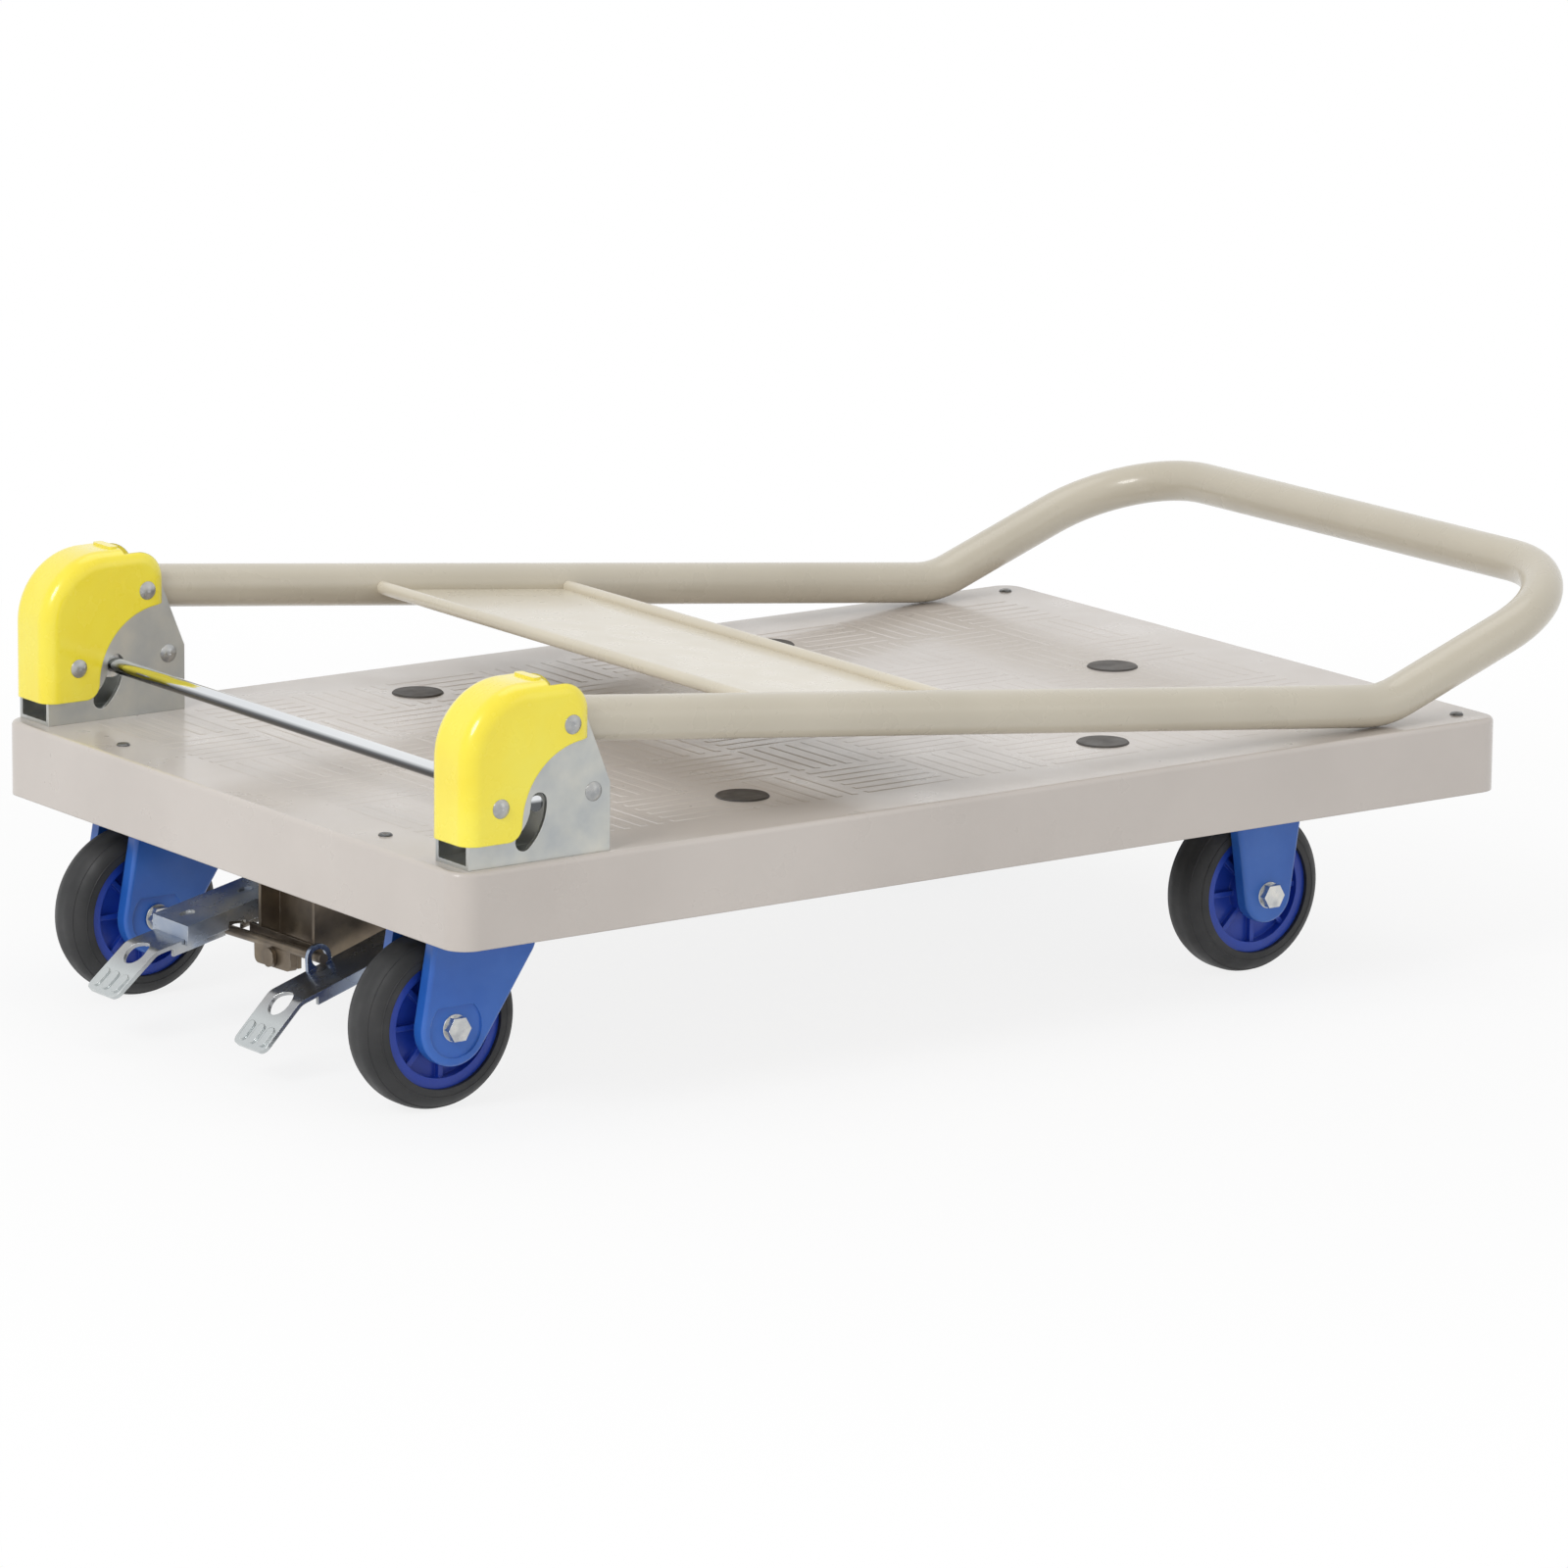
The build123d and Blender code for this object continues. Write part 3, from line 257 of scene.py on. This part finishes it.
def fastener_material(name, shade=1.0):
    """Zinc-plated fasteners, duller with a lower shade."""
    shader = Shader(name, metallic=1.0, edge_radius=0.0003)
    shader.colour(
        shader.noise(180.0, 4.0),
        (0.3, srgb(180 * shade, 182 * shade, 184 * shade)),
        (0.5, srgb(202 * shade, 203 * shade, 202 * shade)),
        (0.7, srgb(218 * shade, 216 * shade, 210 * shade)),
    )
    shader.wear(300.0, 0.5, srgb(226 * shade, 227 * shade, 228 * shade))
    shader.roughness(shader.noise(220.0, 4.0), 0.22, 0.42)
    shader.bump(shader.noise(1200.0, 2.0), 0.08, 0.00006)
    return shader.material


def pedal_material(name, tip=None, metallic=0.95):
    """Zinc, scuffed towards the tip of a pedal and with a painted highlight at the tip, when the tip's x
    is given.
    """
    shader = Shader(name, metallic=metallic, edge_radius=0.0005)
    shader.colour(
        shader.noise(26.0, 4.0),
        (0.3, srgb(132, 148, 174)),
        (0.5, srgb(160, 170, 186)),
        (0.7, srgb(198, 196, 188)),
    )
    if tip is not None:
        shader.graded_tint("X", tip + scuff_start, tip + scuff_full, 0.6, srgb(172, 167, 157))
        # A painted highlight at the pedal's tip
        shader.graded_tint("X", tip + painted_highlight_start, tip + painted_highlight_full, 0.7, srgb(206, 212, 212))
    shader.wear(160.0, 0.9, srgb(240, 242, 240))
    shader.roughness(shader.noise(70.0, 5.0), 0.16, 0.34)
    shader.bump(shader.noise(700.0, 3.0), 0.07, 0.0001)
    return shader.material


def dark_steel_material():
    shader = Shader("dark_steel", metallic=0.75, edge_radius=0.0005)
    shader.colour(
        shader.noise(44.0, 5.0),
        (0.3, srgb(98, 88, 78)),
        (0.55, srgb(122, 110, 95)),
        (0.75, srgb(146, 132, 112)),
    )
    shader.wear(160.0, 0.7, srgb(178, 172, 162))
    shader.roughness(shader.noise(110.0, 4.0), 0.28, 0.46)
    shader.bump(shader.noise(800.0, 3.0), 0.08, 0.0001)
    return shader.material


def chrome_material():
    """Chrome that is bright on the rod's upper side, with a painted dark reflection below."""
    low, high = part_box("lock_rod")
    middle = (low.z + high.z) / 2
    radius = (high.z - low.z) / 2
    shader = Shader("rod_chrome", metallic=1.0)
    shader.colour(
        shader.noise(60.0, 3.0, stretch=(1.0, 0.05, 1.0)),
        (0.3, srgb(222, 225, 228)),
        (0.7, srgb(236, 238, 239)),
    )
    # Painted dark reflection: the rod's lower side is made darker
    start = middle + painted_shade_start * radius
    shader.graded_tint("Z", start, middle + painted_shade_full * radius, 0.92, srgb(62, 64, 68))
    shader.roughness(shader.noise(300.0, 3.0, stretch=(1.0, 0.02, 1.0)), 0.04, 0.1)
    shader.bump(shader.noise(900.0, 2.0, stretch=(1.0, 0.05, 1.0)), 0.03, 0.00005)
    return shader.material


def fork_material():
    shader = Shader("fork_blue", coat=0.2, coat_roughness=0.15, edge_radius=0.0008)
    shader.colour(
        shader.noise(22.0, 4.0),
        (0.3, srgb(36, 94, 184)),
        (0.5, srgb(44, 104, 196)),
        (0.7, srgb(56, 114, 204)),
    )
    shader.wear(110.0, 0.5, srgb(96, 146, 214))
    shader.roughness(shader.noise(60.0, 4.0), 0.28, 0.44)
    shader.bump(shader.noise(800.0, 2.0), 0.1, 0.0001)
    return shader.material


def wheel_material():
    shader = Shader("wheel_blue", coat=0.12, coat_roughness=0.2, edge_radius=0.0008)
    shader.colour(
        shader.noise(26.0, 4.0),
        (0.3, srgb(22, 56, 160)),
        (0.7, srgb(34, 76, 190)),
    )
    shader.wear(120.0, 0.45, srgb(84, 116, 200))
    shader.roughness(shader.noise(60.0, 4.0), 0.32, 0.48)
    shader.bump(shader.noise(800.0, 2.0), 0.1, 0.0001)
    return shader.material


def tyre_material():
    shader = Shader("tyre_rubber", edge_radius=0.0006)
    shader.colour(
        shader.noise(34.0, 6.0),
        (0.3, srgb(36, 37, 38)),
        (0.55, srgb(47, 47, 48)),
        (0.75, srgb(66, 65, 64)),
    )
    shader.wear(140.0, 0.4, srgb(98, 97, 95))
    shader.roughness(shader.noise(50.0, 5.0), 0.46, 0.68)
    shader.bump(shader.noise(1100.0, 3.0), 0.15, 0.00012)
    return shader.material


def plug_material():
    shader = Shader("plug_dark", edge_radius=0.0005)
    shader.colour(
        shader.noise(120.0, 4.0),
        (0.3, srgb(54, 50, 47)),
        (0.7, srgb(72, 67, 62)),
    )
    shader.wear(200.0, 0.4, srgb(98, 92, 86))
    shader.roughness(shader.noise(90.0, 3.0), 0.42, 0.6)
    shader.bump(shader.noise(1200.0, 2.0), 0.12, 0.0001)
    return shader.material


materials = {
    "deck": deck_material(),
    "galvanised_steel": zinc_material(),
    "bright_zinc": fastener_material("bright_zinc"),
    "plug": plug_material(),
    "hinge_cover": cover_material(),
    "handle_paint": handle_material("handle_enamel"),
    "lock_rod": chrome_material(),
    "fork": fork_material(),
    "wheel_centre": wheel_material(),
    "tyre": tyre_material(),
    "pedal": pedal_material("pedal_zinc"),
    "dark_steel": dark_steel_material(),
}

# Finishes of single nodes, in place of their slot's
own_finishes = {
    "deck_screws": fastener_material("dull_zinc", shade=0.55),
    # The panel's paler enamel is a painted sheen, standing in for its reflection of the white
    # surroundings
    "handle_panel": handle_material("panel_enamel_painted_sheen", shade=1.07),
    "brake_pedal_channel": pedal_material("channel_zinc", metallic=0.7),
}
rivet_zinc = fastener_material("rivet_zinc", shade=0.86)
for name in ("handle_pivot_rivets", "lock_pivot_rivets", "stop_pins"):
    own_finishes[name] = rivet_zinc
for name in ("brake_pedal", "release_pedal"):
    own_finishes[name] = pedal_material(f"{name}_zinc", tip=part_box(name)[0].x)

for subpart in frame["record"]["subparts"]:
    name = subpart["node"]
    mesh = nodes[name].data
    mesh.materials.clear()
    mesh.materials.append(own_finishes.get(name) or materials[subpart["material_slot"]])


def piece(name, work, body, slot):
    """A new mesh from a bmesh, in its finish, that moves with a body."""
    mesh = bpy.data.meshes.new(name)
    work.to_mesh(mesh)
    work.free()
    mesh.materials.append(materials[slot])
    made = bpy.data.objects.new(name, mesh)
    scene.collection.objects.link(made)
    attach(made, body)
    return made


# Anti-slip relief on the deck: square blocks of low ribs, turned by a quarter from block to block
relief_block = 0.067
relief_ribs = 6
rib_width = 0.006
rib_slope = 0.0014
rib_height = 0.00026
rib_sink = 0.0001
relief_rear = 0.035
relief_columns = 10
relief_rows = 6
plug_margin = 0.003
weld_distance = 1e-6


def islands(node):
    """Lowest and highest corner of each separate solid in a CAD node, in the order of its vertices."""
    work = bmesh.new()
    work.from_mesh(node.data)
    bmesh.ops.remove_doubles(work, verts=work.verts, dist=weld_distance)
    seen = set()
    found = []
    for first in work.verts:
        if first in seen:
            continue
        seen.add(first)
        group = [first]
        for vert in group:
            for edge in vert.link_edges:
                other = edge.other_vert(vert)
                if other not in seen:
                    seen.add(other)
                    group.append(other)
        points = [node.matrix_world @ vert.co for vert in group]
        low = Vector([min(p[i] for p in points) for i in range(3)])
        high = Vector([max(p[i] for p in points) for i in range(3)])
        found.append((low, high))
    work.free()
    return found


def rib(work, low, high):
    """A low bar with sloped sides between two corners of the deck top."""
    base = [(low[0], low[1]), (high[0], low[1]), (high[0], high[1]), (low[0], high[1])]
    inset = [(1, 1), (-1, 1), (-1, -1), (1, -1)]
    foot = [work.verts.new((x, y, deck_top - rib_sink)) for x, y in base]
    top = [
        work.verts.new((x + i * rib_slope, y + j * rib_slope, deck_top + rib_height))
        for (x, y), (i, j) in zip(base, inset)
    ]
    work.faces.new(top)
    for k in range(4):
        work.faces.new((foot[k], foot[(k + 1) % 4], top[(k + 1) % 4], top[k]))


def stretches(start, end, along, across, holes):
    """Parts of a rib from start to end that stay clear of the round holes; along is the rib's axis."""
    free = [(start, end)]
    for centre, radius in holes:
        gap = abs(centre[1 - along] - across)
        reach = radius + plug_margin + rib_width / 2
        if gap < reach:
            half = sqrt(reach**2 - gap**2)
            near, far = centre[along] - half, centre[along] + half
            free = [
                part
                for low, high in free
                for part in ((low, min(high, near)), (max(low, far), high))
                if part[1] - part[0] > rib_width
            ]
    return free


def deck_relief():
    """The blocks of ribs, broken off around the plugs and screws."""
    work = bmesh.new()
    fittings = islands(nodes["deck_plugs"]) + islands(nodes["deck_screws"])
    holes = [((low + high) / 2, (high.x - low.x) / 2) for low, high in fittings]
    pitch = relief_block / relief_ribs
    for column in range(relief_columns):
        for row in range(relief_rows):
            along = (column + row) % 2
            origin = (
                rear_x + relief_rear + column * relief_block,
                (row - relief_rows / 2) * relief_block,
            )
            start = origin[along] + (pitch - rib_width) / 2
            end = origin[along] + relief_block - (pitch - rib_width) / 2
            for k in range(relief_ribs):
                across = origin[1 - along] + (k + 0.5) * pitch
                for low, high in stretches(start, end, along, across, holes):
                    corners = [[0, 0], [0, 0]]
                    corners[0][along], corners[1][along] = low, high
                    corners[0][1 - along] = across - rib_width / 2
                    corners[1][1 - along] = across + rib_width / 2
                    rib(work, *corners)
    piece("deck_relief", work, "platform", "deck")


deck_relief()

# Small details: washers under the axle heads, moulded rings on the tyres, and thin dark crosses on the
# deck screws that paint the shade inside their recesses
washer_radius = 0.0079
washer_thickness = 0.0009
washer_chamfer = 0.0002
washer_bore = 0.0042
axle_head = 0.0059
tyre_shoulder = 0.012
ring_angles = (radians(33.0), radians(73.0))
ring_spread = radians(3.3)
ring_rise = 0.0003
ring_crown = 0.4
cross_share = 0.45
cross_arm = 0.18
cross_rise = 0.00004
cross_turn = 0.7
turn_steps = 96


def revolved(work, profile, centre):
    """A closed profile of (radius, y) points turned about the line along Y through centre."""
    rows = []
    for k in range(turn_steps):
        angle = 2 * pi * k / turn_steps
        rows.append(
            [
                work.verts.new((centre.x + r * cos(angle), centre.y + y, centre.z + r * sin(angle)))
                for r, y in profile
            ]
        )
    for k, row in enumerate(rows):
        following = rows[(k + 1) % turn_steps]
        for i in range(len(profile)):
            j = (i + 1) % len(profile)
            work.faces.new((row[i], row[j], following[j], following[i]))
    bmesh.ops.recalc_face_normals(work, faces=work.faces)


def axle_washers(node, body):
    """A chamfered washer on the fork under each end of an axle."""
    low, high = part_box(node)
    centre = (low + high) / 2
    seat = (high.y - low.y) / 2 - axle_head
    work = bmesh.new()
    for side in (-1, 1):
        profile = [
            (washer_bore, seat),
            (washer_radius, seat),
            (washer_radius, seat + washer_thickness - washer_chamfer),
            (washer_radius - washer_chamfer, seat + washer_thickness),
            (washer_bore, seat + washer_thickness),
        ]
        revolved(work, [(r, side * y) for r, y in profile], centre)
    piece(f"{node}_washers", work, body, "bright_zinc")


def tyre_rings(node, body):
    """Two raised rings on each shoulder: the tread's edge and the sidewall."""
    low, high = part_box(node)
    centre = (low + high) / 2
    outer = (high.z - low.z) / 2
    half = (high.y - low.y) / 2
    work = bmesh.new()
    for angle in ring_angles:
        profile = []
        for turn, rise in ((-1, -1), (-ring_crown, 1), (ring_crown, 1), (1, -1)):
            reach = tyre_shoulder + rise * ring_rise
            across = angle + turn * ring_spread
            radius = outer - tyre_shoulder + reach * cos(across)
            profile.append((radius, half - tyre_shoulder + reach * sin(across)))
        for side in (-1, 1):
            revolved(work, [(r, side * y) for r, y in profile], centre)
    made = piece(f"{node}_rings", work, body, "tyre")
    made.data.shade_smooth()


def paint_screw_cross_shades():
    """A thin dark cross on the head of each deck screw, each at its own angle: painted shade for the
    recess of the cross.
    """
    work = bmesh.new()
    for count, (low, high) in enumerate(islands(nodes["deck_screws"])):
        centre = (low + high) / 2
        reach = cross_share * (high.x - low.x) / 2
        arm = cross_arm * reach
        outline = [(reach, -arm), (reach, arm), (arm, arm), (arm, reach), (-arm, reach), (-arm, arm)]
        outline += [(-x, -y) for x, y in outline]
        turn = cross_turn * count
        points = [(x * cos(turn) - y * sin(turn), x * sin(turn) + y * cos(turn)) for x, y in outline]
        foot = [work.verts.new((centre.x + x, centre.y + y, high.z - cross_rise)) for x, y in points]
        top = [work.verts.new((centre.x + x, centre.y + y, high.z + cross_rise)) for x, y in points]
        work.faces.new(top)
        for k in range(len(points)):
            j = (k + 1) % len(points)
            work.faces.new((foot[k], foot[j], top[j], top[k]))
    piece("deck_screw_cross_shades", work, "platform", "dark_steel")


paint_screw_cross_shades()
for side in ("left", "right"):
    axle_washers(f"front_axle_{side}", "platform")
    axle_washers(f"rear_axle_{side}", f"swivel_{side}")
    for end in ("front", "rear"):
        tyre_rings(f"tyre_{end}_{side}", f"{end}_wheel_{side}")


# Camera at the photograph's place, its eye given from the middle of the deck's rear top edge
eye_offset = (-2.46705, -3.9462, 1.05177)
azimuth = radians(-35.91)
elevation = radians(12.66)
roll = radians(0.58)
sensor_width = 36.0
lens = 194.4


def photo_camera():
    """The photograph's camera, as the scene's own."""
    eye = Vector((rear_x + eye_offset[0], eye_offset[1], deck_top + eye_offset[2]))
    back = Vector((sin(azimuth) * cos(elevation), -cos(azimuth) * cos(elevation), sin(elevation)))
    right = Vector((0, 0, 1)).cross(back).normalized()
    up = back.cross(right)
    turned_right = right * cos(roll) + up * sin(roll)
    turned_up = up * cos(roll) - right * sin(roll)
    data = bpy.data.cameras.new("photo_camera")
    data.sensor_width = sensor_width
    data.lens = lens
    camera = bpy.data.objects.new("photo_camera", data)
    scene.collection.objects.link(camera)
    axes = Matrix((turned_right, turned_up, back)).transposed()
    camera.matrix_world = Matrix.Translation(eye) @ axes.to_4x4()
    scene.camera = camera


photo_camera()


# Floor, lamps and white surroundings
floor_reach = 30.0
floor_grey = 0.92
floor_roughness = 0.9
lamp_target = Vector((0, 0, 0.15))


def seen_directly(tree):
    """1 for camera, glossy and transmission rays, 0 for light that falls on diffuse surfaces."""
    path = tree.nodes.new("ShaderNodeLightPath")
    total = path.outputs["Is Camera Ray"]
    for name in ("Is Glossy Ray", "Is Transmission Ray"):
        higher = tree.nodes.new("ShaderNodeMath")
        higher.operation = "MAXIMUM"
        tree.links.new(total, higher.inputs[0])
        tree.links.new(path.outputs[name], higher.inputs[1])
        total = higher.outputs["Value"]
    return total


def white_world(ambient):
    """Surroundings that look white and light the scene with the ambient share."""
    world = bpy.data.worlds.new("studio")
    scene.world = world
    world.use_nodes = True
    tree = world.node_tree
    strength = tree.nodes.new("ShaderNodeMapRange")
    strength.inputs["To Min"].default_value = ambient
    strength.inputs["To Max"].default_value = 1.0
    tree.links.new(seen_directly(tree), strength.inputs["Value"])
    tree.links.new(strength.outputs["Result"], tree.nodes["Background"].inputs["Strength"])
    tree.nodes["Background"].inputs["Color"].default_value = (1.0, 1.0, 1.0, 1.0)


def pale_floor(near_glow, start, end):
    """A floor that takes the shadow near the object and turns to plain white from start to end."""
    mesh = bpy.data.meshes.new("floor")
    signs = ((-1, -1), (1, -1), (1, 1), (-1, 1))
    mesh.from_pydata([(x * floor_reach, y * floor_reach, 0) for x, y in signs], [], [(0, 1, 2, 3)])
    floor = bpy.data.objects.new("floor", mesh)
    scene.collection.objects.link(floor)
    material = bpy.data.materials.new("floor_pale")
    material.use_nodes = True
    tree = material.node_tree
    bsdf = tree.nodes["Principled BSDF"]
    bsdf.inputs["Base Color"].default_value = (floor_grey, floor_grey, floor_grey, 1.0)
    bsdf.inputs["Roughness"].default_value = floor_roughness
    glowing = tree.nodes.new("ShaderNodeEmission")
    mix = tree.nodes.new("ShaderNodeMixShader")
    place = tree.nodes.new("ShaderNodeTexCoord")
    distance = tree.nodes.new("ShaderNodeVectorMath")
    distance.operation = "LENGTH"
    tree.links.new(place.outputs["Object"], distance.inputs[0])
    glow = tree.nodes.new("ShaderNodeMapRange")
    glow.interpolation_type = "SMOOTHSTEP"
    for name, number in (("From Min", start), ("From Max", end), ("To Min", near_glow), ("To Max", 1.0)):
        glow.inputs[name].default_value = number
    tree.links.new(distance.outputs["Value"], glow.inputs["Value"])
    share = tree.nodes.new("ShaderNodeMath")
    share.operation = "MULTIPLY"
    tree.links.new(seen_directly(tree), share.inputs[0])
    tree.links.new(glow.outputs["Result"], share.inputs[1])
    tree.links.new(share.outputs["Value"], mix.inputs["Fac"])
    tree.links.new(bsdf.outputs["BSDF"], mix.inputs[1])
    tree.links.new(glowing.outputs["Emission"], mix.inputs[2])
    tree.links.new(mix.outputs["Shader"], tree.nodes["Material Output"].inputs["Surface"])
    mesh.materials.append(material)


def softbox(name, place, size, power):
    """A round soft lamp that points at the object."""
    data = bpy.data.lights.new(name, "AREA")
    data.shape = "DISK"
    data.size = size
    data.energy = power
    lamp = bpy.data.objects.new(name, data)
    scene.collection.objects.link(lamp)
    lamp.location = place
    lamp.rotation_euler = (lamp_target - Vector(place)).to_track_quat("-Z", "Y").to_euler()


white_world(ambient=0.62)
pale_floor(near_glow=0.84, start=0.35, end=1.2)
softbox("key", place=(-2.8, -0.9, 2.2), size=1.2, power=36.0)
softbox("top", place=(0.6, 0.3, 3.0), size=2.2, power=12.0)
softbox("fill", place=(1.6, -2.8, 1.4), size=1.8, power=3.0)
